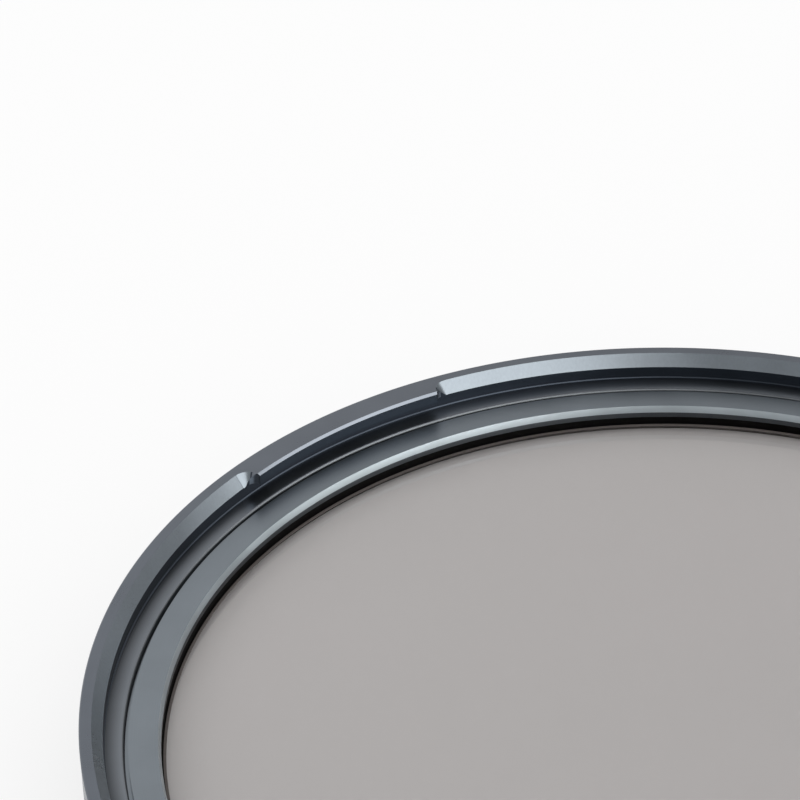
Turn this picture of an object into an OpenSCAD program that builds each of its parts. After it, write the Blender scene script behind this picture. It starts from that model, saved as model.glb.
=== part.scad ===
// Circular polarizing filter in a rotating screw-in mount.
// It lies on the end of its rear thread, front side up. The optical axis is +Z and the
// origin is on that axis, in the plane of the thread's end. All sizes are millimetres.

/* [Filter size] */
// Major diameter of the rear screw thread, which is the nominal size of the filter
thread_d = 82; // [52:0.5:95]
// How far the front ring stands out past the thread, at its radius
rim_overhang = 2.0; // [1.8:0.1:4]
// How far the clear aperture lies inside the thread, at its radius
aperture_inset = 3.51; // [3.3:0.1:6]

/* [Front rim] */
// Width of the flat face at the front of the rim
rim_land_w = 0.87; // [0.4:0.02:1]
// Radial width of the broad chamfer inside the rim
rim_chamfer_w = 0.73; // [0.4:0.01:0.9]
// Depth of the broad chamfer
rim_chamfer_h = 0.91; // [0.5:0.01:1.2]
// Edge break round the outside of the rim
rim_edge = 0.08; // [0.02:0.02:0.3]
// Depth of the recess wall, from the rim to its foot
wall_h = 1.9; // [1.4:0.02:3]
// Small bevel at the foot of the recess wall
foot_c = 0.07; // [0.04:0.01:0.3]
// Radial width from the recess wall to the bore
ledge_w = 1.34; // [1.1:0.02:1.4]
// Height of the small step from the wall's foot down to the ledge
foot_step = 0.12; // [0.05:0.01:0.3]
// Fall of the dished ledge from the step to the bore
ledge_drop = 0.15; // [0.05:0.01:0.3]
// Bevel on the inner edge of the ledge
ledge_bevel = 0.1; // [0.05:0.01:0.3]

/* [Bayonet lugs] */
// Number of lugs round the rim
lug_count = 3; // [2:1:4]
// Direction of the first lug's middle, in degrees
lug_turn = 127.75; // [0:0.25:360]
// Half of the angle that a lug's inner edge spans, in degrees
lug_half = 12.54; // [8:0.01:20]
// How far a lug reaches in from the recess wall
lug_reach = 0.63; // [0.4:0.01:0.9]
// Thickness of a lug
lug_t = 0.95; // [0.5:0.01:1.2]
// Width of the thin bevel on a lug's inner edge
lug_bevel_w = 0.18; // [0.1:0.02:0.4]
// Depth of that bevel
lug_bevel_h = 0.18; // [0.06:0.02:0.3]
// Radius of the end mill that cut the lug's ends
mill_r = 0.8; // [0.6:0.05:1.5]
// Radius of the chamfering tool where it crosses the rim's face
bevel_tool_r = 1.2; // [1:0.05:3]

/* [Grip] */
// Number of grooves round the front ring
grip_count = 150; // [60:1:180]
// Radius of the tool that cut a groove
grip_r = 0.45; // [0.3:0.05:0.6]
// Depth of a groove
grip_depth = 0.25; // [0.1:0.01:0.3]
// Plain band above the grooves
grip_top = 1.6; // [0.6:0.1:2]
// Plain band below the grooves
grip_foot = 0.9; // [0.4:0.1:2]

/* [Glass and films] */
// Thickness of each glass
glass_t = 0.95; // [0.7:0.05:1.5]
// Thickness of the linear polarizing film
polarizer_t = 0.18; // [0.08:0.01:0.3]
// Thickness of the quarter-wave film behind it
retarder_t = 0.12; // [0.05:0.01:0.3]
// How far the glass reaches under the retaining ring
glass_overlap = 1.5; // [1.2:0.05:1.6]
// Gap round the edge of the glass in its cell
glass_gap = 0.1; // [0.05:0.01:0.3]
// Bevel round the edge of each glass
glass_edge = 0.12; // [0.05:0.01:0.3]

/* [Seals] */
// Thickness of the black gasket on the glass
gasket_t = 0.68; // [0.4:0.02:1]
// How far the gasket's foot lip reaches in over the glass
gasket_lip_w = 0.3; // [0.1:0.05:0.6]
// Thickness of that lip
gasket_lip_t = 0.06; // [0.04:0.01:0.2]
// Gap round the edge of the gaskets in the cell
gasket_gap = 0.15; // [0.05:0.01:0.3]
// Thickness of the thin seal under the glass
seat_seal_t = 0.15; // [0.1:0.01:0.3]
// How far the thin seal stays back from the edge of the aperture
seat_seal_inset = 0.3; // [0.1:0.05:0.6]

/* [Retaining ring] */
// Height of the retaining ring
retainer_h = 0.97; // [0.8:0.01:1.4]
// How far its face lies below the rim
retainer_depth = 2.18; // [2:0.01:3.4]
// Width of its inner bevel
retainer_bevel_w = 0.18; // [0.1:0.01:0.5]
// Depth of its inner bevel
retainer_bevel_h = 0.53; // [0.2:0.01:0.6]
// Height of its threaded foot
retainer_foot_h = 0.45; // [0.3:0.01:0.6]
// Gap between the threaded foot and the bore of the front ring
retainer_fit = 0.05; // [0.02:0.01:0.1]
// Gap round its face
retainer_gap = 0.32; // [0.1:0.01:0.5]
// Direction of its two spanner slots, in degrees
slot_turn = 25; // [0:5:175]
// Width of a spanner slot
slot_w = 1.3; // [0.8:0.1:2]
// Depth of a spanner slot
slot_depth = 0.45; // [0.2:0.05:0.5]

/* [Rotating joint] */
// Wall of the glass cell
cell_wall = 1.0; // [0.7:0.05:1.1]
// Gap between the cell and the mount ring's spigot
spigot_gap = 0.12; // [0.08:0.01:0.2]
// Wall of the spigot that the front ring turns on
spigot_wall = 1.2; // [1.1:0.05:1.3]
// Running gap between the spigot and the front ring
running_gap = 0.04; // [0.02:0.01:0.08]
// Gap between the front ring and the mount ring's flange
flange_gap = 0.1; // [0.05:0.01:0.3]
// Gap above the spigot's end
spigot_end_gap = 0.15; // [0.1:0.01:0.3]
// Thickness of the front ring's web between its bore and the spigot's recess
web_t = 1.1; // [0.8:0.05:1.4]
// Thickness of the lip that carries the glass
lip_t = 0.7; // [0.5:0.05:1.2]
// Relief below the retaining ring's thread
bore_relief = 0.1; // [0.05:0.01:0.2]
// Diameter of the snap ring's wire
wire_d = 0.6; // [0.4:0.05:0.7]
// Gap between the snap ring and its grooves
wire_gap = 0.04; // [0.02:0.01:0.08]
// Angle that the snap ring leaves open, in degrees
wire_open = 9; // [4:1:20]

/* [Mount ring] */
// Length of the rear thread, with its relief
thread_len = 2.6; // [2:0.1:4]
// Wall of the rear thread
thread_wall = 1.5; // [1.2:0.05:1.8]
// Lead-in chamfer at the thread's end
lead_c = 0.5; // [0.2:0.05:0.6]
// Height of the relief groove at the shoulder
relief_h = 0.35; // [0.2:0.05:0.6]
// Depth of the relief groove
relief_d = 0.45; // [0.2:0.05:0.6]
// How far the relief groove cuts into the shoulder, so that the thread's end clears it
undercut = 0.1; // [0.05:0.01:0.2]
// Thickness of the flange
flange_t = 0.9; // [0.7:0.05:1.6]
// How far the flange lies inside the front ring's outside
flange_step = 0.4; // [0.1:0.05:0.8]
// Edge breaks on the mount ring and under the front ring
edge_c = 0.15; // [0.05:0.01:0.2]

/* [Hidden] */
$fn = 180;

// Radii, worked out from the thread
thread_r = thread_d / 2;
outer_r = thread_r + rim_overhang;
clear_r = thread_r - aperture_inset;
land_r = outer_r - rim_land_w;
wall_r = land_r - rim_chamfer_w;
lug_r = wall_r - lug_reach;
bore_r = wall_r - ledge_w;
glass_r = clear_r + glass_overlap;
cell_r = glass_r + glass_gap;
cell_out_r = cell_r + cell_wall;
spigot_in_r = cell_out_r + spigot_gap;
spigot_r = spigot_in_r + spigot_wall;
skirt_r = spigot_r + running_gap;
flange_r = outer_r - flange_step;
mount_bore_r = thread_r - thread_wall;
flange_in_r = min(mount_bore_r, spigot_in_r);

// Heights, counted up from the thread's end
shoulder_z = thread_len;
flange_z = shoulder_z + flange_t;
front_z = flange_z + flange_gap;
seat_z = front_z + lip_t;
rear_glass_z = seat_z + seat_seal_t;
retarder_z = rear_glass_z + glass_t;
polarizer_z = retarder_z + retarder_t;
front_glass_z = polarizer_z + polarizer_t;
gasket_z = front_glass_z + glass_t;
retainer_z = gasket_z + gasket_t;
retainer_top_z = retainer_z + retainer_h;
top_z = retainer_top_z + retainer_depth;
step_z = retainer_z - bore_relief;
recess_z = step_z - web_t;
spigot_top_z = recess_z - spigot_end_gap;
foot_z = top_z - wall_h;
ledge_z = foot_z - foot_step - ledge_drop;

// The snap ring lies half way up the spigot, on the gap between the two rings
wire_z = (flange_z + spigot_top_z) / 2;
wire_r = spigot_r + running_gap / 2;
groove_h = wire_d / 2 + wire_gap;
groove_in_r = wire_r - wire_d / 2 - wire_gap - wire_d / 2;
groove_out_r = wire_r + wire_d / 2 + wire_gap;

// Centres of the tools that cut the lugs' ends, kept a hair inside the faces they run along
hair = 0.02;
mill_c = wall_r - mill_r - hair;
bevel_c = land_r - bevel_tool_r - hair;
mill_turn = lug_half + tool_lead(mill_r, lug_r + lug_bevel_w - mill_c);
bevel_turn = lug_half + tool_lead(bevel_tool_r, lug_r + lug_bevel_w - bevel_c);
gap_angle = 360 / lug_count;
chamfer_slope = rim_chamfer_w / rim_chamfer_h;
// Spare metal above the rim, which the last facing cut takes off
spare_h = 0.2;

// Angle from a lug's corner to the centre of a tool of radius r, whose centre lies off inside it
function tool_lead(r, off) = sqrt(r * r - off * off) / lug_r * 180 / PI;

// A plain disc
module plain_disc(r, z, h) {
    translate([0, 0, z])
        cylinder(r = r, h = h);
}

// A disc with a small bevel round both faces
module bevelled_disc(r, z, h, c) {
    rotate_extrude()
        polygon([[0, z], [r - c, z], [r, z + c], [r, z + h - c], [r - c, z + h], [0, z + h]]);
}

// Section of the front ring between its lugs
module front_section() {
    polygon([
        [skirt_r + edge_c, front_z],
        [outer_r - edge_c, front_z],
        [outer_r, front_z + edge_c],
        [outer_r, top_z - rim_edge],
        [outer_r - rim_edge, top_z],
        [outer_r - rim_edge, top_z + 2 * spare_h],
        [land_r + chamfer_slope * 2 * spare_h, top_z + 2 * spare_h],
        [wall_r, top_z - rim_chamfer_h],
        [wall_r, foot_z + foot_c],
        [wall_r - foot_c, foot_z],
        [wall_r - foot_c, foot_z - foot_step],
        [bore_r + ledge_bevel, ledge_z],
        [bore_r, ledge_z - ledge_bevel],
        [bore_r, step_z],
        [cell_r, step_z],
        [cell_r, seat_z],
        [clear_r, seat_z],
        [clear_r, front_z + edge_c],
        [clear_r + edge_c, front_z],
        [cell_out_r, front_z],
        [cell_out_r, recess_z],
        [skirt_r, recess_z],
        [skirt_r, wire_z + groove_h],
        [groove_out_r, wire_z + groove_h],
        [groove_out_r, wire_z - groove_h],
        [skirt_r, wire_z - groove_h],
        [skirt_r, front_z + edge_c]
    ]);
}

// Section of a lug, which reaches a little into the metal behind the broad chamfer
module lug_section() {
    root = 0.2;
    polygon([
        [lug_r, top_z - lug_t],
        [wall_r + root, top_z - lug_t],
        [land_r + root + chamfer_slope * spare_h, top_z + spare_h],
        [lug_r + lug_bevel_w, top_z + spare_h],
        [lug_r + lug_bevel_w, top_z],
        [lug_r, top_z - lug_bevel_h]
    ]);
}

// Plan of a lug: a wedge between the two slots that the end mill cut
module lug_plan() {
    far = 2 * outer_r;
    difference() {
        polygon([
            [0, 0],
            [far * cos(bevel_turn), far * sin(bevel_turn)],
            [far * cos(bevel_turn), -far * sin(bevel_turn)]
        ]);
        for (side = [-1, 1])
            rotate(side * mill_turn)
                translate([mill_c, 0])
                    circle(r = mill_r);
        for (side = [-1, 1])
            rotate(side * mill_turn)
                translate([mill_c - outer_r, side > 0 ? 0 : -bevel_tool_r])
                    square([outer_r + mill_r - hair, bevel_tool_r]);
    }
}

// One lug, with the round ends that the two tools left
module lug() {
    rise = 2 * spare_h;
    difference() {
        intersection() {
            rotate_extrude()
                lug_section();
            translate([0, 0, foot_z])
                linear_extrude(wall_h + 2 * spare_h)
                    lug_plan();
        }
        for (side = [-1, 1])
            rotate([0, 0, side * bevel_turn])
                translate([bevel_c, 0, top_z - rim_chamfer_h])
                    cylinder(
                        r1 = bevel_tool_r - rim_chamfer_w,
                        r2 = bevel_tool_r + rise * chamfer_slope,
                        h = rim_chamfer_h + rise
                    );
    }
}

// The facing cut that leaves the rim flat
module facing_cut() {
    translate([0, 0, top_z])
        cylinder(r = outer_r + 1, h = 3 * spare_h);
}

// The straight grooves of the grip
module grip_grooves() {
    low = front_z + grip_foot;
    high = top_z - grip_top;
    for (i = [0 : grip_count - 1])
        rotate([0, 0, i * 360 / grip_count])
            translate([outer_r + grip_r - grip_depth, 0, low])
                cylinder(r = grip_r, h = high - low, $fn = 32);
}

// Front ring: rim with bayonet lugs, glass cell and grip, turned and milled from one blank
module front_ring() {
    color([0.20, 0.22, 0.24])
        difference() {
            union() {
                rotate_extrude()
                    front_section();
                for (i = [0 : lug_count - 1])
                    rotate([0, 0, lug_turn + i * gap_angle])
                        lug();
            }
            facing_cut();
            grip_grooves();
        }
}

// Retaining ring: screws down on the gasket and clamps the glass
module retaining_ring() {
    foot_r = bore_r - retainer_fit;
    face_r = bore_r - retainer_gap;
    color([0.27, 0.30, 0.33])
        difference() {
            rotate_extrude()
                polygon([
                    [clear_r, retainer_z],
                    [foot_r, retainer_z],
                    [foot_r, retainer_z + retainer_foot_h],
                    [face_r, retainer_z + retainer_foot_h],
                    [face_r, retainer_top_z],
                    [clear_r + retainer_bevel_w, retainer_top_z],
                    [clear_r, retainer_top_z - retainer_bevel_h]
                ]);
            rotate([0, 0, slot_turn])
                translate([-outer_r, -slot_w / 2, retainer_top_z - slot_depth])
                    cube([2 * outer_r, slot_w, retainer_depth]);
        }
}

// Black gasket between the retaining ring and the glass, with a thin foot lip
module front_gasket() {
    gasket_r = cell_r - gasket_gap;
    color([0.02, 0.02, 0.02])
        rotate_extrude()
            polygon([
                [clear_r - gasket_lip_w, gasket_z],
                [gasket_r, gasket_z],
                [gasket_r, retainer_z],
                [clear_r, retainer_z],
                [clear_r, gasket_z + gasket_lip_t],
                [clear_r - gasket_lip_w, gasket_z + gasket_lip_t]
            ]);
}

// Front glass
module front_glass() {
    color([0.66, 0.65, 0.64, 0.5])
        bevelled_disc(glass_r, front_glass_z, glass_t, glass_edge);
}

// Linear polarizing film, laminated behind the front glass
module polarizing_film() {
    color([0.36, 0.35, 0.34, 0.7])
        plain_disc(glass_r - glass_edge, polarizer_z, polarizer_t);
}

// Quarter-wave film, which makes the light circular again
module quarter_wave_film() {
    color([0.60, 0.58, 0.54, 0.6])
        plain_disc(glass_r - glass_edge, retarder_z, retarder_t);
}

// Rear glass
module rear_glass() {
    color([0.66, 0.65, 0.64, 0.5])
        bevelled_disc(glass_r, rear_glass_z, glass_t, glass_edge);
}

// Thin seal between the rear glass and its lip
module seat_seal() {
    r_in = clear_r + seat_seal_inset;
    color([0.03, 0.03, 0.03])
        rotate_extrude()
            translate([r_in, seat_z])
                square([cell_r - gasket_gap - r_in, seat_seal_t]);
}

// Snap ring: open ring of spring wire that holds the front ring on the mount ring
module snap_ring() {
    color([0.62, 0.62, 0.62])
        rotate([0, 0, wire_open / 2])
            rotate_extrude(angle = 360 - wire_open)
                translate([wire_r, wire_z])
                    circle(r = wire_d / 2, $fn = 32);
}

// Mount ring: rear thread, shoulder flange and the spigot that the front ring turns on
module mount_ring() {
    color([0.16, 0.17, 0.18])
        rotate_extrude()
            polygon([
                [mount_bore_r + edge_c, 0],
                [thread_r - lead_c, 0],
                [thread_r, lead_c],
                [thread_r, shoulder_z - relief_h],
                [thread_r - relief_d, shoulder_z - relief_h],
                [thread_r - relief_d, shoulder_z + undercut],
                [thread_r + undercut, shoulder_z + undercut],
                [thread_r + undercut, shoulder_z],
                [flange_r - edge_c, shoulder_z],
                [flange_r, shoulder_z + edge_c],
                [flange_r, flange_z - edge_c],
                [flange_r - edge_c, flange_z],
                [spigot_r, flange_z],
                [spigot_r, wire_z - groove_h],
                [groove_in_r, wire_z - groove_h],
                [groove_in_r, wire_z + groove_h],
                [spigot_r, wire_z + groove_h],
                [spigot_r, spigot_top_z - edge_c],
                [spigot_r - edge_c, spigot_top_z],
                [spigot_in_r + edge_c, spigot_top_z],
                [spigot_in_r, spigot_top_z - edge_c],
                [spigot_in_r, flange_z],
                [flange_in_r, flange_z],
                [flange_in_r, shoulder_z - edge_c],
                [mount_bore_r, shoulder_z - 2 * edge_c],
                [mount_bore_r, edge_c]
            ]);
}

front_ring();
retaining_ring();
front_gasket();
front_glass();
polarizing_film();
quarter_wave_film();
rear_glass();
seat_seal();
snap_ring();
mount_ring();
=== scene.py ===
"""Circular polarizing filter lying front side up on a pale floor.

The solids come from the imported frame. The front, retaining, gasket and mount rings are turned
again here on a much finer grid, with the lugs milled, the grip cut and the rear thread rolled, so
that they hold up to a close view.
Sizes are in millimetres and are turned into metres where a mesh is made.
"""
import math

import bmesh
import bpy
from mathutils import Matrix, Vector


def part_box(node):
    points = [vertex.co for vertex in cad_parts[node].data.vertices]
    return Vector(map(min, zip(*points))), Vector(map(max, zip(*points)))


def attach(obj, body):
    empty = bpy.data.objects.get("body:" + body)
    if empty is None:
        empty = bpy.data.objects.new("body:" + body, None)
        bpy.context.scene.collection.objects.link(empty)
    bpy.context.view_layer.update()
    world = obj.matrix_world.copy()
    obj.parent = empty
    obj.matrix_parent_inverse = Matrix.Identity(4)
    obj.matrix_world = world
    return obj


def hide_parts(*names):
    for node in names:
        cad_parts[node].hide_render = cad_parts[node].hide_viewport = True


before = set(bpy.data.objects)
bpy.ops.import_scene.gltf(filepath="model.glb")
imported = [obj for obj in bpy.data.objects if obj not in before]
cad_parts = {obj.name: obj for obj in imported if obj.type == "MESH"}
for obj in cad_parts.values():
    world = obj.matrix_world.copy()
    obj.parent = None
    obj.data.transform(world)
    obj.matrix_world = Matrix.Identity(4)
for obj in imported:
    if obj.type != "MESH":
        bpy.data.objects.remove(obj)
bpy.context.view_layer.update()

MM = 0.001


def box_mm(node):
    """The lowest and highest corners of a node, in millimetres."""
    low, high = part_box(node)
    return [v / MM for v in low], [v / MM for v in high]


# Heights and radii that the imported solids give
(_, _, FRONT_Z), (OUTER_R, _, TOP_Z) = box_mm("front_ring")
(_, _, RETAINER_Z), (FOOT_R, _, RETAINER_TOP_Z) = box_mm("retaining_ring")
(_, _, GASKET_Z), (GASKET_R, _, _) = box_mm("front_gasket")
(_, _, FRONT_GLASS_Z), (GLASS_R, _, _) = box_mm("front_glass")
(_, _, POLARIZER_Z), (FILM_R, _, _) = box_mm("polarizing_film")
(_, _, RETARDER_Z), (_, _, _) = box_mm("quarter_wave_film")
(_, _, REAR_GLASS_Z), (_, _, REAR_GLASS_TOP_Z) = box_mm("rear_glass")
(_, _, SEAT_Z), (_, _, _) = box_mm("seat_seal")
(_, _, _), (FLANGE_R, _, SPIGOT_TOP_Z) = box_mm("mount_ring")
(_, _, WIRE_LOW_Z), (_, _, WIRE_HIGH_Z) = box_mm("snap_ring")

# Sizes of the source that the boxes don't give
THREAD_R = 41.0
CLEAR_R = 37.49
RIM_LAND_W = 0.87
RIM_CHAMFER_W = 0.73
RIM_CHAMFER_H = 0.91
RIM_EDGE = 0.08
WALL_H = 1.9
FOOT_C = 0.07
LEDGE_W = 1.34
FOOT_STEP = 0.12
LEDGE_DROP = 0.15
LEDGE_ROUND = 0.22
LUG_COUNT = 3
LUG_TURN = 127.75
LUG_HALF = 12.54
LUG_REACH = 0.63
LUG_T = 0.95
LUG_BEVEL_W = 0.18
LUG_BEVEL_H = 0.18
MILL_R = 0.8
BEVEL_TOOL_R = 1.2
GRIP_COUNT = 150
GRIP_R = 0.45
GRIP_DEPTH = 0.25
GRIP_TOP = 1.6
GRIP_FOOT = 0.9
EDGE_C = 0.15
RUNNING_GAP = 0.04
SPIGOT_WALL = 1.2
SPIGOT_GAP = 0.12
CELL_WALL = 1.0
GLASS_GAP = 0.1
GASKET_LIP_W = 0.3
GASKET_LIP_T = 0.06
WEB_T = 1.1
BORE_RELIEF = 0.1
RETAINER_BEVEL_W = 0.18
RETAINER_BEVEL_H = 0.53
RETAINER_FOOT_H = 0.45
RETAINER_GAP = 0.32
SLOT_TURN = 25.0
SLOT_W = 1.3
SLOT_DEPTH = 0.45
THREAD_LEN = 2.6
THREAD_WALL = 1.5
THREAD_PITCH = 0.75
THREAD_DEPTH = 0.4
RELIEF_H = 0.35
RELIEF_D = 0.45
UNDERCUT = 0.1
FLANGE_T = 0.9
WIRE_GAP = 0.04
HAIR = 0.02
SPARE_H = 0.2

# Sizes that only the scene has: finer edges, and gaps too small to see
DARKER_FROM_R = 37.51  # radius outside which the polarizing film is darker
DARK_LINE_W = 0.06  # width of the darker line at that radius
GLASS_BREAK = 0.12
FILM_BREAK = 0.02
FILM_HAIR = 0.004  # keeps faces that lie on each other apart
LUG_ROOT = 0.2  # how far a lug reaches into the metal behind the chamfer
THREAD_START = 0.05
THREAD_FLAT = 0.12  # share of the pitch's rise that is flat at crest and root

# Steps round a full turn, and along smaller arcs
RING_STEPS = 1080
DISC_STEPS = 720
MOUNT_STEPS = 540
TOOL_STEPS = 160
LUG_STEPS = 96
LEDGE_STEPS = 8
THREAD_STEPS = 16  # in one pitch

LAND_R = OUTER_R - RIM_LAND_W
WALL_R = LAND_R - RIM_CHAMFER_W
LUG_R = WALL_R - LUG_REACH
BORE_R = WALL_R - LEDGE_W
CELL_R = GLASS_R + GLASS_GAP
CELL_OUT_R = CELL_R + CELL_WALL
SPIGOT_IN_R = CELL_OUT_R + SPIGOT_GAP
SPIGOT_R = SPIGOT_IN_R + SPIGOT_WALL
SKIRT_R = SPIGOT_R + RUNNING_GAP
STEP_Z = RETAINER_Z - BORE_RELIEF
RECESS_Z = STEP_Z - WEB_T
FOOT_Z = TOP_Z - WALL_H
LEDGE_Z = FOOT_Z - FOOT_STEP - LEDGE_DROP
WIRE_Z = (WIRE_LOW_Z + WIRE_HIGH_Z) / 2
WIRE_D = WIRE_HIGH_Z - WIRE_LOW_Z
GROOVE_H = WIRE_D / 2 + WIRE_GAP
WIRE_R = SPIGOT_R + RUNNING_GAP / 2
FLANGE_Z = THREAD_LEN + FLANGE_T
MILL_C = WALL_R - MILL_R - HAIR
BEVEL_C = LAND_R - BEVEL_TOOL_R - HAIR
CHAMFER_SLOPE = RIM_CHAMFER_W / RIM_CHAMFER_H


# Meshes
WELD_DIST = 2e-7
EMPTY_DIST = 1e-7


def circle_angles(count):
    """Equally spaced angles round a full turn."""
    return [2 * math.pi * i / count for i in range(count)]


def make_object(name, mesh):
    """An object for a mesh, linked to the scene."""
    obj = bpy.data.objects.new(name, mesh)
    bpy.context.scene.collection.objects.link(obj)
    return obj


def tidy_mesh(bm, name):
    """Welds a bmesh, drops its empty faces, turns its normals outwards and makes a mesh of it."""
    bmesh.ops.remove_doubles(bm, verts=bm.verts, dist=WELD_DIST)
    bmesh.ops.dissolve_degenerate(bm, edges=bm.edges, dist=EMPTY_DIST)
    bmesh.ops.recalc_face_normals(bm, faces=bm.faces)
    mesh = bpy.data.meshes.new(name)
    bm.to_mesh(mesh)
    bm.free()
    return mesh


def lathe(name, profile, angles, closed_turn=True):
    """Turns a closed profile of (radius, height) points.

    A radius may be a function of the angle.
    """
    bm = bmesh.new()
    rows = []
    for radius, height in profile:
        row = []
        for a in angles:
            r = radius(a) if callable(radius) else radius
            row.append(bm.verts.new((r * math.cos(a) * MM, r * math.sin(a) * MM, height * MM)))
        rows.append(row)
    turns = len(angles) if closed_turn else len(angles) - 1
    for i, row in enumerate(rows):
        following = rows[(i + 1) % len(rows)]
        for j in range(turns):
            k = (j + 1) % len(angles)
            bm.faces.new((row[j], row[k], following[k], following[j]))
    if not closed_turn:
        bm.faces.new([row[0] for row in rows])
        bm.faces.new([row[-1] for row in rows])
    return make_object(name, tidy_mesh(bm, name))


def arc(r, z, radius, start, end, steps):
    """Points of a profile along an arc about (r, z), by angle in degrees."""
    angles = [math.radians(start + (end - start) * i / steps) for i in range(steps + 1)]
    return [(r + radius * math.cos(a), z + radius * math.sin(a)) for a in angles]


def turned_solid(name, profile, count):
    """Turns an open profile that starts and ends on the axis into a closed solid."""
    bm = bmesh.new()
    angles = circle_angles(count)
    rows = []
    for r, z in profile:
        if r == 0:
            rows.append([bm.verts.new((0, 0, z * MM))] * count)
        else:
            rows.append([
                bm.verts.new((r * math.cos(a) * MM, r * math.sin(a) * MM, z * MM)) for a in angles
            ])
    for row, following in zip(rows, rows[1:]):
        for j in range(count):
            k = (j + 1) % count
            corners = []
            for v in (row[j], row[k], following[k], following[j]):
                if v not in corners:
                    corners.append(v)
            if len(corners) > 2:
                bm.faces.new(corners)
    return make_object(name, tidy_mesh(bm, name))


def block(name, low, high):
    """A box between two corners, used as a cutter."""
    bm = bmesh.new()
    bmesh.ops.create_cube(bm, size=1)
    for v in bm.verts:
        v.co = Vector([(low[i] if v.co[i] < 0 else high[i]) * MM for i in range(3)])
    return make_object(name, tidy_mesh(bm, name))


def combine(target, tool, operation):
    """Joins, cuts or intersects the target with the tool, and deletes the tool."""
    modifier = target.modifiers.new("combine", "BOOLEAN")
    modifier.operation = operation
    modifier.solver = "EXACT"
    modifier.object = tool
    depsgraph = bpy.context.evaluated_depsgraph_get()
    result = bpy.data.meshes.new_from_object(target.evaluated_get(depsgraph))
    target.modifiers.clear()
    old = target.data
    target.data = result
    result.name = target.name
    bpy.data.meshes.remove(old)
    tool_mesh = tool.data
    bpy.data.objects.remove(tool)
    bpy.data.meshes.remove(tool_mesh)


def turn(obj, degrees, shift=(0, 0, 0)):
    """Moves a mesh by shift (millimetres), then turns it about the axis, in its own data."""
    move = Matrix.Translation([v * MM for v in shift])
    obj.data.transform(Matrix.Rotation(math.radians(degrees), 4, "Z") @ move)


def smooth_but_for_edges(obj, degrees=24):
    """Smooth shading, with the edges that turn by more than the given angle kept sharp."""
    mesh = obj.data
    bm = bmesh.new()
    bm.from_mesh(mesh)
    limit = math.radians(degrees)
    for face in bm.faces:
        face.smooth = True
    for edge in bm.edges:
        edge.smooth = len(edge.link_faces) == 2 and edge.calc_face_angle(0) < limit
    bm.to_mesh(mesh)
    bm.free()


# Material nodes
BLACK = (0.0, 0.0, 0.0, 1.0)
WHITE = (1.0, 1.0, 1.0, 1.0)
COATING_GREEN = (0.94, 1.0, 0.97, 1.0)
COATING_PINK = (1.0, 0.97, 0.98, 1.0)
COATING_IOR = 1.54
GLASS_IOR = 1.5


class Nodes:
    """Short calls that add nodes to one tree."""

    def __init__(self, tree):
        self.tree = tree
        tree.nodes.clear()

    def add(self, kind, **settings):
        node = self.tree.nodes.new(kind)
        for key, value in settings.items():
            setattr(node, key, value)
        return node

    def link(self, source, target):
        self.tree.links.new(source, target)

    def put(self, value, target):
        """Links a socket to a target, or sets the target's own value."""
        if hasattr(value, "is_output"):
            self.link(value, target)
        else:
            target.default_value = value

    def math(self, operation, *values):
        node = self.add("ShaderNodeMath", operation=operation)
        for value, target in zip(values, node.inputs):
            self.put(value, target)
        return node.outputs[0]

    def spread(self, value, low, high, out_low, out_high):
        """Maps a value from one range to another and keeps it within that."""
        node = self.add("ShaderNodeMapRange", clamp=True)
        for v, target in zip((value, low, high, out_low, out_high), node.inputs):
            self.put(v, target)
        return node.outputs[0]

    def mix_colour(self, factor, a, b):
        node = self.add("ShaderNodeMix", data_type="RGBA")
        self.put(factor, node.inputs[0])
        self.put(a, node.inputs[6])
        self.put(b, node.inputs[7])
        return node.outputs[2]

    def noise(self, scale, detail, dimensions="3D", vector=None, w=None):
        node = self.add("ShaderNodeTexNoise", noise_dimensions=dimensions)
        node.inputs["Scale"].default_value = scale
        node.inputs["Detail"].default_value = detail
        if vector is not None:
            self.link(vector, node.inputs["Vector"])
        if w is not None:
            self.link(w, node.inputs["W"])
        return node.outputs[0]

    def total(self, *parts):
        """Sum of (value, weight) pairs."""
        weighed = [self.math("MULTIPLY", value, weight) for value, weight in parts]
        result = weighed[0]
        for value in weighed[1:]:
            result = self.math("ADD", result, value)
        return result

    def bump(self, height, strength, distance):
        """Normal of a bumpy surface. The distance is in millimetres."""
        node = self.add("ShaderNodeBump")
        node.inputs["Strength"].default_value = strength
        node.inputs["Distance"].default_value = distance * MM
        self.link(height, node.inputs["Height"])
        return node.outputs[0]

    def mix_shader(self, factor, a, b):
        node = self.add("ShaderNodeMixShader")
        self.put(factor, node.inputs[0])
        self.link(a.outputs[0], node.inputs[1])
        self.link(b.outputs[0], node.inputs[2])
        return node

    def surface(self, shader):
        """Makes a shader node the material's surface."""
        self.link(shader.outputs[0], self.add("ShaderNodeOutputMaterial").inputs[0])

    def object_coordinates(self):
        return self.add("ShaderNodeTexCoord").outputs["Object"]


def new_material(name):
    """An empty node material."""
    material = bpy.data.materials.new(name)
    material.use_nodes = True
    return material, Nodes(material.node_tree)


def shaded(colour, share):
    """A colour made darker or lighter, with its alpha."""
    return [c * share for c in colour] + [1.0]


def polar(n):
    """Object coordinates, the radius and height in millimetres, and the angle in radians."""
    coords = n.object_coordinates()
    split = n.add("ShaderNodeSeparateXYZ")
    n.link(coords, split.inputs[0])
    x, y, z = split.outputs
    r = n.math("SQRT", n.math("ADD", n.math("MULTIPLY", x, x), n.math("MULTIPLY", y, y)))
    angle = n.math("ARCTAN2", y, x)
    return coords, n.math("DIVIDE", r, MM), n.math("DIVIDE", z, MM), angle


# Noise scales, per metre
METAL_GRAIN = 9000
METAL_CLOUD = 220
RUBBER_GRAIN = 6000
GLASS_CLOUD = 60
FILM_CLOUD = 35

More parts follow.
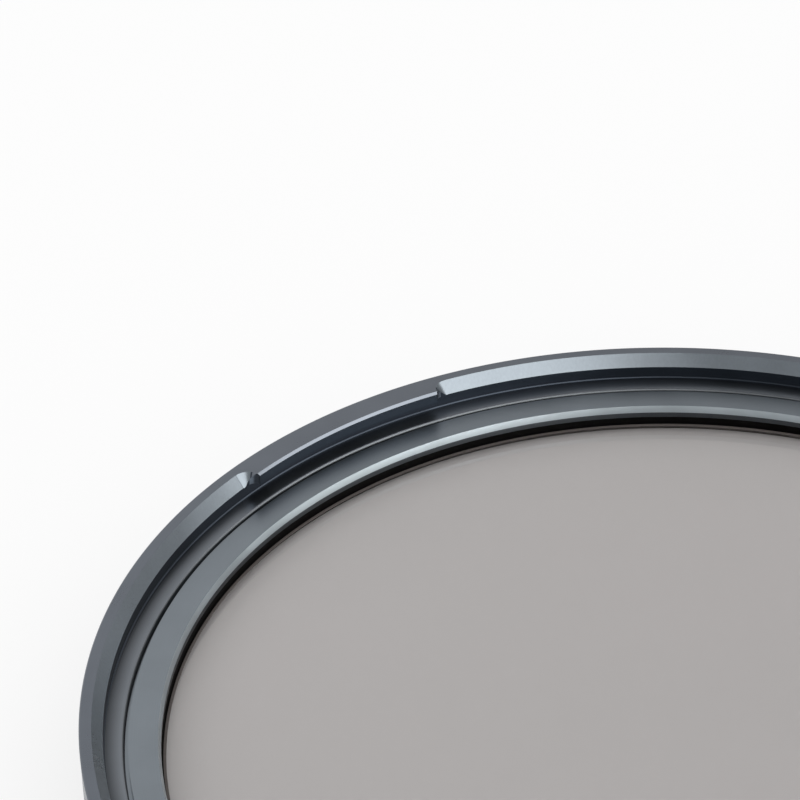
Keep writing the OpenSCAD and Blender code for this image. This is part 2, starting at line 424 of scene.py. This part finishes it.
# Noise scales, per millimetre
TURNED_RINGS = 16.0
MILLED_MARKS = 5.0
WIRE_STREAK = 120.0

# How the cross marks are laid: millimetres along the rim for a radian, and their stretch across it
MARK_RADIUS = 43.0
MARK_STRETCH = 0.7


def anodised(name, colour, roughness, turned=1.0, milled=0.0, painted_shade=None):
    """Black anodised aluminium: fine etched grain, faint turned rings and, if milled, cross marks.

    The painted shade gives two radii, between which the colour falls to a share of itself, and that
    share: shade painted into the colour.
    """
    material, n = new_material(name)
    coords, r, z, angle = polar(n)
    grain = n.noise(METAL_GRAIN, detail=2.0, vector=coords)
    cloud = n.noise(METAL_CLOUD, detail=3.0, vector=coords)
    rings = n.noise(TURNED_RINGS, detail=2.0, dimensions="1D", w=n.math("ADD", r, z))
    across = n.add("ShaderNodeCombineXYZ")
    stretches = (MARK_RADIUS, MARK_STRETCH, MARK_STRETCH)
    for value, stretch, target in zip((angle, r, z), stretches, across.inputs):
        n.link(n.math("MULTIPLY", value, stretch), target)
    marks = n.noise(MILLED_MARKS, detail=3.0, vector=across.outputs[0])
    height = n.total((grain, 0.5), (rings, 0.7 * turned), (marks, 0.9 * milled))
    tone = n.total((cloud, 0.6), (marks, 0.4 * milled), (rings, 0.2 * turned))
    tone = n.spread(tone, 0.25, 0.65, 0.0, 1.0)
    base = n.mix_colour(tone, shaded(colour, 0.90), shaded(colour, 1.10))
    # Painted shade: the colour darkens between the two radii
    if painted_shade:
        near, far, share = painted_shade
        base = n.mix_colour(n.spread(r, near, far, 1.0, share), BLACK, base)
    shade = n.add("ShaderNodeBsdfPrincipled")
    n.link(base, shade.inputs["Base Color"])
    wear = n.total((cloud, 1.0), (grain, 0.5))
    n.link(n.spread(wear, 0.5, 1.0, roughness - 0.03, roughness + 0.03), shade.inputs["Roughness"])
    shade.inputs["Metallic"].default_value = 1.0
    n.link(n.bump(height, strength=0.10, distance=0.02), shade.inputs["Normal"])
    n.surface(shade)
    return material


def rubber(name, colour, roughness):
    """Black gasket rubber with a faint grain."""
    material, n = new_material(name)
    grain = n.noise(RUBBER_GRAIN, detail=3.0, vector=n.object_coordinates())
    shade = n.add("ShaderNodeBsdfPrincipled")
    base = n.mix_colour(grain, shaded(colour, 0.8), shaded(colour, 1.3))
    n.link(base, shade.inputs["Base Color"])
    shade.inputs["Roughness"].default_value = roughness
    shade.inputs["Specular IOR Level"].default_value = 0.06
    n.link(n.bump(grain, strength=0.15, distance=0.01), shade.inputs["Normal"])
    n.surface(shade)
    return material


def seen_ray(n):
    """One for a ray from the camera, also by way of a mirror or glass, and none for light."""
    path = n.add("ShaderNodeLightPath")
    seen = n.math("MAXIMUM", path.outputs["Is Camera Ray"], path.outputs["Is Glossy Ray"])
    return n.math("MAXIMUM", seen, path.outputs["Is Transmission Ray"])


def coated_glass(name):
    """Clear coated glass: what is behind it, under a weak reflection in the coating's colour.

    It bends what is seen through it, while light goes straight through to the films.
    """
    material, n = new_material(name)
    cloud = n.noise(GLASS_CLOUD, detail=2.0, vector=n.object_coordinates())
    straight = n.add("ShaderNodeBsdfTransparent")
    straight.inputs[0].default_value = WHITE
    bent = n.add("ShaderNodeBsdfRefraction")
    bent.inputs["Color"].default_value = WHITE
    bent.inputs["Roughness"].default_value = 0.0
    bent.inputs["IOR"].default_value = GLASS_IOR
    clear = n.mix_shader(seen_ray(n), straight, bent)
    gloss = n.add("ShaderNodeBsdfGlossy")
    n.link(n.mix_colour(cloud, COATING_GREEN, COATING_PINK), gloss.inputs["Color"])
    gloss.inputs["Roughness"].default_value = 0.02
    fresnel = n.add("ShaderNodeFresnel")
    fresnel.inputs["IOR"].default_value = COATING_IOR
    # Only the face that is seen from outside reflects
    back = n.add("ShaderNodeNewGeometry").outputs["Backfacing"]
    outside = n.math("SUBTRACT", 1.0, back)
    n.surface(n.mix_shader(n.math("MULTIPLY", fresnel.outputs[0], outside), clear, gloss))
    return material


def film(name, colour, see_through, opacity, rim=None):
    """Thin plastic film: part of the light passes and part is scattered in its own tone.

    The rim gives the radius outside which the film is darker, the colour outside it and that of a
    darker line at that radius.
    """
    material, n = new_material(name)
    coords, r, _, _ = polar(n)
    cloud = n.noise(FILM_CLOUD, detail=2.0, vector=coords)
    body = n.add("ShaderNodeBsdfDiffuse")
    tone = n.mix_colour(cloud, shaded(colour, 0.985), shaded(colour, 1.015))
    if rim:
        darker_from_r, outside, border = rim
        border_end = darker_from_r + DARK_LINE_W
        tone = n.mix_colour(n.math("GREATER_THAN", r, darker_from_r), tone, border)
        past = n.spread(r, border_end, border_end + DARK_LINE_W, 0.0, 1.0)
        tone = n.mix_colour(past, tone, outside)
    n.link(tone, body.inputs["Color"])
    clear = n.add("ShaderNodeBsdfTransparent")
    clear.inputs[0].default_value = (*see_through, 1.0)
    n.surface(n.mix_shader(opacity, clear, body))
    return material


def wire_steel(name):
    """Drawn spring wire, streaked round the turn."""
    material, n = new_material(name)
    _, _, z, _ = polar(n)
    streak = n.noise(WIRE_STREAK, detail=3.0, dimensions="1D", w=z)
    shade = n.add("ShaderNodeBsdfPrincipled")
    base = n.mix_colour(streak, (0.36, 0.36, 0.35, 1), (0.5, 0.5, 0.49, 1))
    n.link(base, shade.inputs["Base Color"])
    shade.inputs["Metallic"].default_value = 1.0
    n.link(n.spread(streak, 0.3, 0.7, 0.25, 0.4), shade.inputs["Roughness"])
    n.surface(shade)
    return material


# Finishes
FRONT_BLACK = anodised("front_ring_satin", (0.150, 0.167, 0.194), 0.30)
CHAMFER_BLACK = anodised(
    "front_ring_chamfer", (0.153, 0.175, 0.197), 0.30, turned=0.2, milled=1.0,
)
# A much darker copy of the satin finish for the walls facing the axis, the lugs' undersides and the
# foot's bevel: painted shade
RECESS_PAINTED_SHADE = anodised("front_ring_recess_painted_shade", (0.039, 0.047, 0.060), 0.34)
# A rougher copy of the satin finish for the bore's rounded edge, a little darker: painted shade
# that dims its highlight
EDGE_PAINTED_SHADE = anodised("front_ring_edge_painted_shade", (0.135, 0.147, 0.160), 0.48)
# A lighter copy of the satin finish for the ledge, a painted highlight, which darkens towards the
# wall behind it as painted shade
LEDGE_PAINTED_LIGHT_AND_SHADE = anodised(
    "front_ring_ledge_painted_light_and_shade", (0.228, 0.250, 0.280), 0.32,
    painted_shade=(BORE_R + 0.2, WALL_R - 0.15, 0.36),
)
RETAINER_BLACK = anodised("retaining_ring_satin", (0.226, 0.256, 0.286), 0.33)
# A darker copy of the retainer's satin finish for its bore: painted shade
RETAINER_BORE_PAINTED_SHADE = anodised("retaining_ring_bore_painted_shade", (0.068, 0.075, 0.083), 0.33)
# A much lighter copy of the retainer's satin finish for its inner bevel: painted highlight
RETAINER_BEVEL_PAINTED_HIGHLIGHT = anodised("retaining_ring_bevel_painted_highlight", (0.39, 0.44, 0.475), 0.40)
MOUNT_BLACK = anodised("mount_ring_satin", (0.105, 0.113, 0.122), 0.32)
GASKET_BLACK = rubber("gasket_rubber", (0.0015, 0.0013, 0.0013), 0.5)
# A lighter copy of the gasket rubber for the up-facing lip: painted sheen
GASKET_LIP_PAINTED_SHEEN = rubber("gasket_lip_painted_sheen", (0.11, 0.098, 0.093), 0.5)
FRONT_GLASS = coated_glass("front_glass_coated")
REAR_GLASS = coated_glass("rear_glass_coated")
# The polarizing film is darker outside a radius of 37.51 mm, with a darker line at that radius;
# nothing in its shape marks it
POLARIZER = film(
    "polarizer_grey", (0.497, 0.474, 0.470), (0.5, 0.48, 0.47), 0.85,
    (DARKER_FROM_R, (0.16, 0.145, 0.14, 1.0), (0.08, 0.072, 0.07, 1.0)),
)
RETARDER = film("retarder_clear", (0.75, 0.74, 0.72), (0.95, 0.95, 0.93), 0.15)
WIRE_STEEL = wire_steel("snap_ring_steel")


RADIUS_SLACK = 0.01


def radius_of(face):
    """Distance of a face's middle from the axis, in millimetres."""
    return math.hypot(face.center.x, face.center.y) / MM


def dress(obj, *materials):
    """Gives an object its materials in order."""
    obj.data.materials.clear()
    for material in materials:
        obj.data.materials.append(material)


# Front ring
def grip_radius(angle):
    """Radius of the grip band at an angle: the outside, or the floor of a groove."""
    pitch = 2 * math.pi / GRIP_COUNT
    off = (angle + pitch / 2) % pitch - pitch / 2
    centre = OUTER_R + GRIP_R - GRIP_DEPTH
    inside = GRIP_R ** 2 - (centre * math.sin(off)) ** 2
    if inside <= 0:
        return OUTER_R
    return min(OUTER_R, centre * math.cos(off) - math.sqrt(inside))


def grip_angles():
    """Angles that follow each groove closely and the land between two grooves loosely."""
    pitch = 2 * math.pi / GRIP_COUNT
    centre = OUTER_R + GRIP_R - GRIP_DEPTH
    x = (OUTER_R ** 2 + centre ** 2 - GRIP_R ** 2) / (2 * centre)
    half = math.acos(x / OUTER_R)
    steps = (-1, -0.86, -0.62, -0.32, 0, 0.32, 0.62, 0.86, 1)
    angles = []
    for i in range(GRIP_COUNT):
        angles += [i * pitch + s * half for s in steps]
        land = pitch - 2 * half
        angles += [i * pitch + half + land * s for s in (1 / 3, 2 / 3)]
    return angles


def tool_lead(r, off):
    """Degrees from a lug's corner to the centre of a tool of radius r, off inside the corner."""
    return math.degrees(math.sqrt(r * r - off * off) / LUG_R)


MILL_TURN = LUG_HALF + tool_lead(MILL_R, LUG_R + LUG_BEVEL_W - MILL_C)
BEVEL_TURN = LUG_HALF + tool_lead(BEVEL_TOOL_R, LUG_R + LUG_BEVEL_W - BEVEL_C)


def make_lug():
    """One lug: a stretch of ring with bevelled inner edge and the round ends of its two tools."""
    angles = [
        math.radians(-BEVEL_TURN + 2 * BEVEL_TURN * i / LUG_STEPS) for i in range(LUG_STEPS + 1)
    ]
    lug = lathe(
        "lug",
        [
            (LUG_R, TOP_Z - LUG_T),
            (WALL_R + LUG_ROOT, TOP_Z - LUG_T),
            (LAND_R + LUG_ROOT + CHAMFER_SLOPE * SPARE_H, TOP_Z + SPARE_H),
            (LUG_R + LUG_BEVEL_W, TOP_Z + SPARE_H),
            (LUG_R + LUG_BEVEL_W, TOP_Z),
            (LUG_R, TOP_Z - LUG_BEVEL_H),
        ],
        angles,
        closed_turn=False,
    )
    low = FOOT_Z
    high = TOP_Z + 2 * SPARE_H
    for side in (-1, 1):
        mill_profile = [(0, low), (MILL_R, low), (MILL_R, high), (0, high)]
        mill = turned_solid("mill", mill_profile, TOOL_STEPS)
        turn(mill, side * MILL_TURN, (MILL_C, 0, 0))
        combine(lug, mill, "DIFFERENCE")
        reach = sorted((0, side * BEVEL_TOOL_R))
        slot = block(
            "slot",
            (MILL_C - OUTER_R, reach[0], low),
            (MILL_C + MILL_R - HAIR, reach[1], high),
        )
        turn(slot, side * MILL_TURN)
        combine(lug, slot, "DIFFERENCE")
        cone = turned_solid(
            "cone",
            [
                (0, TOP_Z - RIM_CHAMFER_H),
                (BEVEL_TOOL_R - RIM_CHAMFER_W, TOP_Z - RIM_CHAMFER_H),
                (BEVEL_TOOL_R + 2 * SPARE_H * CHAMFER_SLOPE, TOP_Z + 2 * SPARE_H),
                (0, TOP_Z + 2 * SPARE_H),
            ],
            TOOL_STEPS,
        )
        turn(cone, side * BEVEL_TURN, (BEVEL_C, 0, 0))
        combine(lug, cone, "DIFFERENCE")
    return lug


LAND, CHAMFER, RECESS, EDGE, LEDGE = range(5)

# Limits on a face's normal, by how far it points up or at the axis
SLOPE_LOW = 0.3
SLOPE_HIGH = 0.9
NEARLY_FLAT = 0.85
UPRIGHT = 0.2
OVERHANGING = -0.5
FACING_AXIS = 0.97
RETAINER_UPRIGHT = 0.1


def front_ring_finish(face):
    """Which of the front ring's five materials a face gets; the recess, edge and ledge ones carry
    painted light or shade.
    """
    r = radius_of(face)
    z = face.center.z / MM
    up = face.normal.z
    inward = -face.normal.xy.dot(face.center.xy.normalized())
    sloping = SLOPE_LOW < up < SLOPE_HIGH
    on_wall = LUG_R - RADIUS_SLACK < r <= WALL_R + RADIUS_SLACK and z > LEDGE_Z
    on_bore = BORE_R - RADIUS_SLACK < r < BORE_R + LEDGE_ROUND and z > RETAINER_Z
    if WALL_R < r < LAND_R and sloping:
        return CHAMFER
    # Walls facing the axis and overhanging faces take the darker copy, which is painted shade
    if on_wall and up < UPRIGHT:
        return RECESS if inward > FACING_AXIS or up < OVERHANGING else LAND
    if WALL_R - FOOT_C < r < WALL_R and z > FOOT_Z and sloping:
        return RECESS
    # The bore's rounded edge takes the rougher copy, darkened as painted shade
    if on_bore and -0.1 < up < NEARLY_FLAT:
        return EDGE
    # The ledge takes the lighter copy with painted highlight and painted shade
    if BORE_R < r < WALL_R and FOOT_Z > z > LEDGE_Z - LEDGE_ROUND and up >= NEARLY_FLAT:
        return LEDGE
    return LAND


def make_front_ring():
    """The front ring: turned section, three lugs, a faced rim and the grooves of the grip."""
    low = FRONT_Z + GRIP_FOOT
    high = TOP_Z - GRIP_TOP
    ring = lathe(
        "front_ring_turned",
        [
            (SKIRT_R + EDGE_C, FRONT_Z),
            (OUTER_R - EDGE_C, FRONT_Z),
            (OUTER_R, FRONT_Z + EDGE_C),
            (OUTER_R, low),
            (grip_radius, low),
            (grip_radius, high),
            (OUTER_R, high),
            (OUTER_R, TOP_Z - RIM_EDGE),
            (OUTER_R - RIM_EDGE, TOP_Z),
            (OUTER_R - RIM_EDGE, TOP_Z + 2 * SPARE_H),
            (LAND_R + CHAMFER_SLOPE * 2 * SPARE_H, TOP_Z + 2 * SPARE_H),
            (WALL_R, TOP_Z - RIM_CHAMFER_H),
            (WALL_R, FOOT_Z + FOOT_C),
            (WALL_R - FOOT_C, FOOT_Z),
            (WALL_R - FOOT_C, FOOT_Z - FOOT_STEP),
            *arc(BORE_R + LEDGE_ROUND, LEDGE_Z - LEDGE_ROUND, LEDGE_ROUND, 90, 180, LEDGE_STEPS),
            (BORE_R, STEP_Z),
            (CELL_R, STEP_Z),
            (CELL_R, SEAT_Z),
            (CLEAR_R, SEAT_Z),
            (CLEAR_R, FRONT_Z + EDGE_C),
            (CLEAR_R + EDGE_C, FRONT_Z),
            (CELL_OUT_R, FRONT_Z),
            (CELL_OUT_R, RECESS_Z),
            (SKIRT_R, RECESS_Z),
            (SKIRT_R, WIRE_Z + GROOVE_H),
            (WIRE_R + WIRE_D / 2 + WIRE_GAP, WIRE_Z + GROOVE_H),
            (WIRE_R + WIRE_D / 2 + WIRE_GAP, WIRE_Z - GROOVE_H),
            (SKIRT_R, WIRE_Z - GROOVE_H),
            (SKIRT_R, FRONT_Z + EDGE_C),
        ],
        grip_angles(),
    )
    first = make_lug()
    lugs = bmesh.new()
    for i in range(LUG_COUNT):
        copy = first.data.copy()
        copy.transform(Matrix.Rotation(math.radians(LUG_TURN + i * 360 / LUG_COUNT), 4, "Z"))
        lugs.from_mesh(copy)
        bpy.data.meshes.remove(copy)
    bpy.data.objects.remove(first)
    combine(ring, make_object("lugs", tidy_mesh(lugs, "lugs")), "UNION")
    reach = OUTER_R + 1
    combine(ring, block("facing", (-reach, -reach, TOP_Z), (reach, reach, TOP_Z + 1)), "DIFFERENCE")
    smooth_but_for_edges(ring)
    dress(ring, FRONT_BLACK, CHAMFER_BLACK, RECESS_PAINTED_SHADE, EDGE_PAINTED_SHADE, LEDGE_PAINTED_LIGHT_AND_SHADE)
    for face in ring.data.polygons:
        face.material_index = front_ring_finish(face)
    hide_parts("front_ring")
    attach(ring, "front")


# Retaining ring and gasket
def make_retaining_ring():
    """Flat ring with an inner bevel, a plain foot and two spanner slots."""
    face_r = BORE_R - RETAINER_GAP
    ring = lathe(
        "retaining_ring_turned",
        [
            (CLEAR_R, RETAINER_Z),
            (FOOT_R, RETAINER_Z),
            (FOOT_R, RETAINER_Z + RETAINER_FOOT_H),
            (face_r, RETAINER_Z + RETAINER_FOOT_H),
            (face_r, RETAINER_TOP_Z),
            (CLEAR_R + RETAINER_BEVEL_W, RETAINER_TOP_Z),
            (CLEAR_R, RETAINER_TOP_Z - RETAINER_BEVEL_H),
        ],
        circle_angles(RING_STEPS),
    )
    slots = block(
        "slots",
        (-OUTER_R, -SLOT_W / 2, RETAINER_TOP_Z - SLOT_DEPTH),
        (OUTER_R, SLOT_W / 2, TOP_Z),
    )
    turn(slots, SLOT_TURN)
    combine(ring, slots, "DIFFERENCE")
    smooth_but_for_edges(ring)
    dress(ring, RETAINER_BLACK, RETAINER_BORE_PAINTED_SHADE, RETAINER_BEVEL_PAINTED_HIGHLIGHT)
    # The bore takes the darker copy, painted shade, and the bevel the lighter copy, a painted
    # highlight
    bore, bevel = 1, 2
    for face in ring.data.polygons:
        r = radius_of(face)
        up = face.normal.z
        if r < CLEAR_R + RADIUS_SLACK and abs(up) < RETAINER_UPRIGHT:
            face.material_index = bore
        elif r < CLEAR_R + RETAINER_BEVEL_W and RETAINER_UPRIGHT < up < SLOPE_HIGH:
            face.material_index = bevel
    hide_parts("retaining_ring")
    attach(ring, "front")


def make_front_gasket():
    """Black gasket on the glass, with its thin foot lip, whose lighter colour is painted sheen."""
    ring = lathe(
        "front_gasket_ring",
        [
            (CLEAR_R - GASKET_LIP_W, GASKET_Z),
            (GASKET_R, GASKET_Z),
            (GASKET_R, RETAINER_Z),
            (CLEAR_R, RETAINER_Z),
            (CLEAR_R, GASKET_Z + GASKET_LIP_T),
            (CLEAR_R - GASKET_LIP_W / 3, GASKET_Z + GASKET_LIP_T),
            (CLEAR_R - GASKET_LIP_W, GASKET_Z + GASKET_LIP_T),
        ],
        circle_angles(RING_STEPS),
    )
    smooth_but_for_edges(ring)
    dress(ring, GASKET_BLACK, GASKET_LIP_PAINTED_SHEEN)
    lip = 1
    for face in ring.data.polygons:
        if radius_of(face) < CLEAR_R - GASKET_LIP_W / 3:
            face.material_index = lip
    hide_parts("front_gasket")
    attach(ring, "front")


# Glass and films
def disc_profile(r, z, h, edge):
    """Section of a disc with bevelled edges, with rings of points between the axis and the edge."""
    inner = [r * s / 4 for s in (1, 2, 3)]
    lower = [(0, z)] + [(i, z) for i in inner] + [(r - edge, z), (r, z + edge)]
    top = z + h
    upper = [(r, top - edge), (r - edge, top)] + [(i, top) for i in inner[::-1]] + [(0, top)]
    return lower + upper


def make_disc(name, node, r, low, high, edge, material):
    """A glass or film that stands for its node."""
    profile = disc_profile(r, low + FILM_HAIR, high - low - 2 * FILM_HAIR, edge)
    disc = turned_solid(name, profile, DISC_STEPS)
    smooth_but_for_edges(disc)
    dress(disc, material)
    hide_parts(node)
    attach(disc, "front")


# Mount ring
def thread_radius(z, angle):
    """Radius of the rear thread's flank at a height and an angle."""
    phase = (z / THREAD_PITCH - angle / (2 * math.pi)) % 1.0
    rise = abs(2 * phase - 1)
    depth = min(1.0, max(0.0, (rise - THREAD_FLAT) / (1 - 2 * THREAD_FLAT)))
    return THREAD_R - THREAD_DEPTH * depth


def make_mount_ring():
    """Mount ring: rolled thread, relief groove, shoulder flange and grooved spigot."""
    steps = MOUNT_STEPS
    angles = circle_angles(steps)
    thread_top = THREAD_LEN - RELIEF_H
    per_turn = THREAD_STEPS
    start_r = THREAD_R - THREAD_DEPTH - THREAD_START
    bm = bmesh.new()
    turns = math.ceil(thread_top / THREAD_PITCH) + 1
    rows = []
    for i in range(-per_turn, turns * per_turn + 1):
        row = []
        for a in angles:
            at = THREAD_PITCH * (i / per_turn + a / (2 * math.pi))
            z = min(max(at, 0.0), thread_top)
            r = thread_radius(at, a) if 0 < at < thread_top else THREAD_R - THREAD_DEPTH
            r = min(r, start_r + z)
            row.append(bm.verts.new((r * math.cos(a) * MM, r * math.sin(a) * MM, z * MM)))
        rows.append(row)
    for i in range(len(rows) - 1):
        for j in range(steps - 1):
            bm.faces.new((rows[i][j], rows[i][j + 1], rows[i + 1][j + 1], rows[i + 1][j]))
        if i + 1 + per_turn < len(rows):
            j = steps - 1
            joined = rows[i + per_turn][0], rows[i + 1 + per_turn][0]
            bm.faces.new((rows[i][j], *joined, rows[i + 1][j]))
    root_r = THREAD_R - RELIEF_D
    flange_in_r = THREAD_R - THREAD_WALL
    groove_r = WIRE_R - WIRE_D - WIRE_GAP
    profile = [
        (THREAD_R - THREAD_DEPTH, thread_top),
        (root_r, thread_top),
        (root_r, THREAD_LEN + UNDERCUT),
        (THREAD_R + UNDERCUT, THREAD_LEN + UNDERCUT),
        (THREAD_R + UNDERCUT, THREAD_LEN),
        (FLANGE_R - EDGE_C, THREAD_LEN),
        (FLANGE_R, THREAD_LEN + EDGE_C),
        (FLANGE_R, FLANGE_Z - EDGE_C),
        (FLANGE_R - EDGE_C, FLANGE_Z),
        (SPIGOT_R, FLANGE_Z),
        (SPIGOT_R, WIRE_Z - GROOVE_H),
        (groove_r, WIRE_Z - GROOVE_H),
        (groove_r, WIRE_Z + GROOVE_H),
        (SPIGOT_R, WIRE_Z + GROOVE_H),
        (SPIGOT_R, SPIGOT_TOP_Z - EDGE_C),
        (SPIGOT_R - EDGE_C, SPIGOT_TOP_Z),
        (SPIGOT_IN_R + EDGE_C, SPIGOT_TOP_Z),
        (SPIGOT_IN_R, SPIGOT_TOP_Z - EDGE_C),
        (SPIGOT_IN_R, FLANGE_Z),
        (flange_in_r, FLANGE_Z),
        (flange_in_r, EDGE_C),
        (flange_in_r + EDGE_C, 0),
        (start_r, 0),
    ]
    ring_rows = [
        [bm.verts.new((r * math.cos(a) * MM, r * math.sin(a) * MM, z * MM)) for a in angles]
        for r, z in profile
    ]
    for row, following in zip(ring_rows, ring_rows[1:]):
        for j in range(steps):
            k = (j + 1) % steps
            bm.faces.new((row[j], row[k], following[k], following[j]))
    ring = make_object("mount_ring_threaded", tidy_mesh(bm, "mount_ring_threaded"))
    smooth_but_for_edges(ring, 30)
    dress(ring, MOUNT_BLACK)
    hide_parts("mount_ring")
    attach(ring, "mount")


# The pieces
make_front_ring()
make_retaining_ring()
make_front_gasket()
make_disc(
    "front_glass_disc", "front_glass", GLASS_R, FRONT_GLASS_Z, GASKET_Z, GLASS_BREAK,
    FRONT_GLASS,
)
make_disc(
    "polarizing_film_disc", "polarizing_film", FILM_R, POLARIZER_Z, FRONT_GLASS_Z, FILM_BREAK,
    POLARIZER,
)
make_disc(
    "quarter_wave_film_disc", "quarter_wave_film", FILM_R, RETARDER_Z, POLARIZER_Z, FILM_BREAK,
    RETARDER,
)
make_disc(
    "rear_glass_disc", "rear_glass", GLASS_R, REAR_GLASS_Z, REAR_GLASS_TOP_Z, GLASS_BREAK,
    REAR_GLASS,
)
make_mount_ring()
for node, material in (("seat_seal", GASKET_BLACK), ("snap_ring", WIRE_STEEL)):
    dress(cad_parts[node], material)


# Floor
FLOOR_HALF = 6.0
FLOOR_GREY = (0.93, 0.93, 0.93, 1.0)
FLOOR_GLOW = 0.72  # share of plain white in what the camera and mirrors see of it


def make_floor():
    """A wide pale floor that keeps the filter's shadow."""
    bm = bmesh.new()
    bmesh.ops.create_grid(bm, x_segments=1, y_segments=1, size=FLOOR_HALF)
    mesh = bpy.data.meshes.new("floor")
    bm.to_mesh(mesh)
    bm.free()
    floor = make_object("floor", mesh)
    material, n = new_material("floor_white")
    body = n.add("ShaderNodeBsdfDiffuse")
    body.inputs["Color"].default_value = FLOOR_GREY
    glow = n.add("ShaderNodeEmission")
    glow.inputs["Color"].default_value = WHITE
    n.surface(n.mix_shader(n.math("MULTIPLY", seen_ray(n), FLOOR_GLOW), body, glow))
    floor.data.materials.append(material)


make_floor()


# Light
def area_light(name, direction, distance, size, power, colour):
    """A square soft box that looks at the origin. Diffuse surfaces don't see it."""
    data = bpy.data.lights.new(name, "AREA")
    data.shape = "SQUARE"
    data.size = size
    data.energy = power
    data.color = colour
    light = bpy.data.objects.new(name, data)
    bpy.context.scene.collection.objects.link(light)
    towards = Vector(direction).normalized()
    light.location = towards * distance
    light.rotation_euler = towards.to_track_quat("Z", "Y").to_euler()
    light.visible_diffuse = False


area_light(
    "soft_box", direction=(0.68, -0.41, 0.50), distance=0.75, size=1.0, power=9.8,
    colour=(1.0, 0.985, 0.955),
)


WALL_WHITE = (1.0, 0.99, 0.98, 1.0)
WALL_GREY = (0.66, 0.65, 0.64, 1.0)
OVERHEAD = (0.12, 0.12, 0.12, 1.0)
DARK_FROM = 0.70  # height on the unit sphere at which the overhead darkness begins
DARK_TO = 0.92
DARK_LEAN = -0.11  # brings the darkness lower in front


def make_world():
    """A plain white level for the camera and for diffuse surfaces.

    Mirrors see a white wall at the left and behind on the right, a greyer one elsewhere on the
    right, and darkness overhead, which reaches lower in front.
    """
    world = bpy.data.worlds.new("studio")
    world.use_nodes = True
    bpy.context.scene.world = world
    n = Nodes(world.node_tree)
    direction = n.add("ShaderNodeSeparateXYZ")
    n.link(n.add("ShaderNodeTexCoord").outputs["Generated"], direction.inputs[0])
    x, y, z = direction.outputs
    height = n.math("ADD", z, n.math("MULTIPLY", y, DARK_LEAN))
    high = n.spread(height, DARK_FROM, DARK_TO, 0.0, 1.0)
    side = n.spread(x, -0.12, 0.12, 0.0, 1.0)
    right = n.spread(x, 0.55, 0.75, 0.0, 0.9)
    behind = n.spread(y, 0.47, 0.60, 0.0, 1.0)
    grey = n.math("SUBTRACT", side, n.math("MULTIPLY", right, behind))
    wall = n.mix_colour(grey, WALL_WHITE, WALL_GREY)
    sky = n.mix_colour(high, wall, OVERHEAD)
    camera_ray = n.add("ShaderNodeLightPath").outputs["Is Camera Ray"]
    seen = n.mix_colour(camera_ray, sky, WHITE)
    back = n.add("ShaderNodeBackground")
    n.link(n.mix_colour(seen_ray(n), WHITE, seen), back.inputs["Color"])
    back.inputs["Strength"].default_value = 1.0
    out = n.add("ShaderNodeOutputWorld")
    n.link(back.outputs[0], out.inputs[0])


make_world()


# Camera, fitted to the rings of the photograph. It is given from the middle of the rim's face
CAMERA_FROM_RIM = Vector((-20.42, -153.97, 129.64))
CAMERA_X = Vector((0.99987, -0.00918, -0.01345))
CAMERA_Z = Vector((0.0, -0.82586, 0.56388))
CAMERA_LENS = 129.39

camera_data = bpy.data.cameras.new("camera")
camera_data.lens = CAMERA_LENS
camera_data.sensor_width = 36.0
camera_data.clip_start = 0.01
camera = bpy.data.objects.new("camera", camera_data)
bpy.context.scene.collection.objects.link(camera)
axis_z = CAMERA_Z.normalized()
axis_y = axis_z.cross(CAMERA_X).normalized()
axis_x = axis_y.cross(axis_z)
turned = Matrix((axis_x, axis_y, axis_z)).transposed().to_4x4()
place = (CAMERA_FROM_RIM + Vector((0, 0, TOP_Z))) * MM
camera.matrix_world = Matrix.Translation(place) @ turned
bpy.context.scene.camera = camera

bpy.context.scene.view_settings.view_transform = "Standard"
